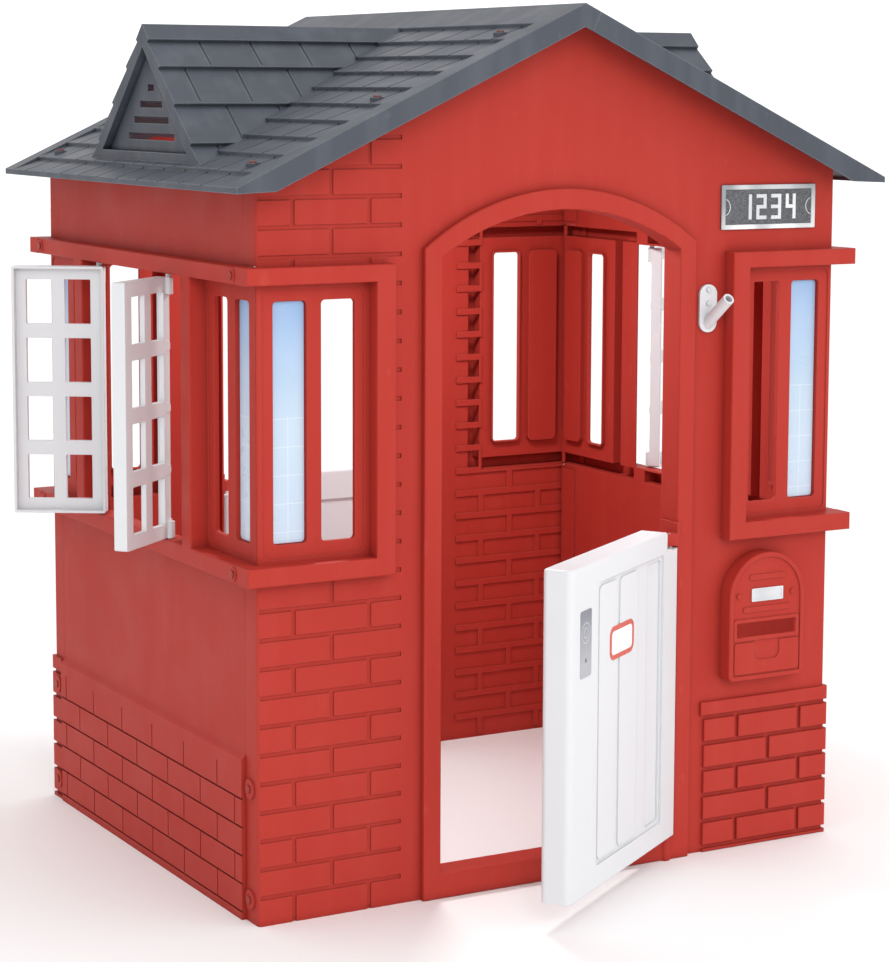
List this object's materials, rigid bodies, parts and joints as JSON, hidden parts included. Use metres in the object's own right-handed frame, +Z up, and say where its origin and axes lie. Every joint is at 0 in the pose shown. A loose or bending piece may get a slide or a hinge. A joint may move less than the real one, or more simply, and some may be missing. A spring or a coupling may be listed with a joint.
{
  "type": "plastic playhouse",
  "caption": "Children's moulded plastic playhouse with brick-patterned walls, shingled gable roof with dormers, two half doors, shutters, mailbox and flag holder.",
  "frame": {"origin": "on the ground, below the middle of the front wall's outer face", "axes": "+X to the right of someone who faces the door, +Y into the house, +Z up"},
  "size_m": [1.247, 1.0546, 1.27],
  "materials": {
    "wall_plastic": "red moulded polyethylene, satin with a fine moulded grain",
    "roof_plastic": "slate grey moulded polyethylene, satin",
    "white_plastic": "white moulded polyethylene, satin",
    "vent_plastic": "slate grey moulded polyethylene, satin",
    "window_label": "printed film, sky blue fading to white with a pale window grid",
    "silver_plastic": "silver grey moulded plastic",
    "digit_plastic": "pale silver moulded plastic",
    "lock_label": "printed film, grey",
    "badge_label": "printed film, white with a red-orange border",
    "screw_red": "red painted steel screw",
    "screw_roof": "red-brown painted steel screw",
    "screw_white": "white painted steel screw"
  },
  "bodies": {
    "house": {"front_wall": "wall_plastic", "back_wall": "wall_plastic", "left_wall": "wall_plastic", "right_wall": "wall_plastic", "roof_left": "roof_plastic", "roof_right": "roof_plastic", "gable_vent_left": "vent_plastic", "gable_vent_right": "vent_plastic", "roof_screws_front": "screw_roof", "roof_screws_back": "screw_roof", "corner_screws_front_left": "screw_red", "corner_screws_front_right": "screw_red", "corner_screws_back_left": "screw_red", "corner_screws_back_right": "screw_red", "pane_front_left": "window_label", "pane_front_right": "window_label", "pane_back_left": "window_label", "pane_back_right": "window_label", "pane_left_front": "window_label", "pane_left_back": "window_label", "pane_right_front": "window_label", "pane_right_back": "window_label", "mailbox_nameplate": "silver_plastic", "number_plate": "silver_plastic", "number_digits": "digit_plastic", "flag_holder": "white_plastic", "flag_holder_screws": "screw_white", "door_hinge_bracket": "wall_plastic", "back_door_hinge_bracket": "wall_plastic"},
    "door": {"door": "white_plastic", "door_lock_label": "lock_label", "door_badge": "badge_label"},
    "back_door": {"back_door": "white_plastic"},
    "shutter_left_front": {"shutter_left_front": "white_plastic"},
    "shutter_left_back": {"shutter_left_back": "white_plastic"},
    "shutter_right_front": {"shutter_right_front": "white_plastic"},
    "shutter_right_back": {"shutter_right_back": "white_plastic"}
  },
  "joints": [
    {"name": "door_hinge", "type": "hinge", "parent": "house", "child": "door", "pos_m": [0.185, -0.008, 0.27], "axis": [0, 0, 1], "range_deg": [-34, 61]},
    {"name": "back_door_hinge", "type": "hinge", "parent": "house", "child": "back_door", "pos_m": [-0.185, 0.778, 0.27], "axis": [0, 0, 1], "range_deg": [0, 95]},
    {"name": "shutter_left_front_hinge", "type": "hinge", "parent": "house", "child": "shutter_left_front", "pos_m": [-0.502, 0.2535, 0.695], "axis": [0, 0, 1], "range_deg": [-130, 15]},
    {"name": "shutter_left_back_hinge", "type": "hinge", "parent": "house", "child": "shutter_left_back", "pos_m": [-0.502, 0.5165, 0.695], "axis": [0, 0, -1], "range_deg": [-122, 23]},
    {"name": "shutter_right_front_hinge", "type": "hinge", "parent": "house", "child": "shutter_right_front", "pos_m": [0.502, 0.2535, 0.695], "axis": [0, 0, -1], "range_deg": [-130, 15]},
    {"name": "shutter_right_back_hinge", "type": "hinge", "parent": "house", "child": "shutter_right_back", "pos_m": [0.502, 0.5165, 0.695], "axis": [0, 0, 1], "range_deg": [-122, 23]}
  ]
}
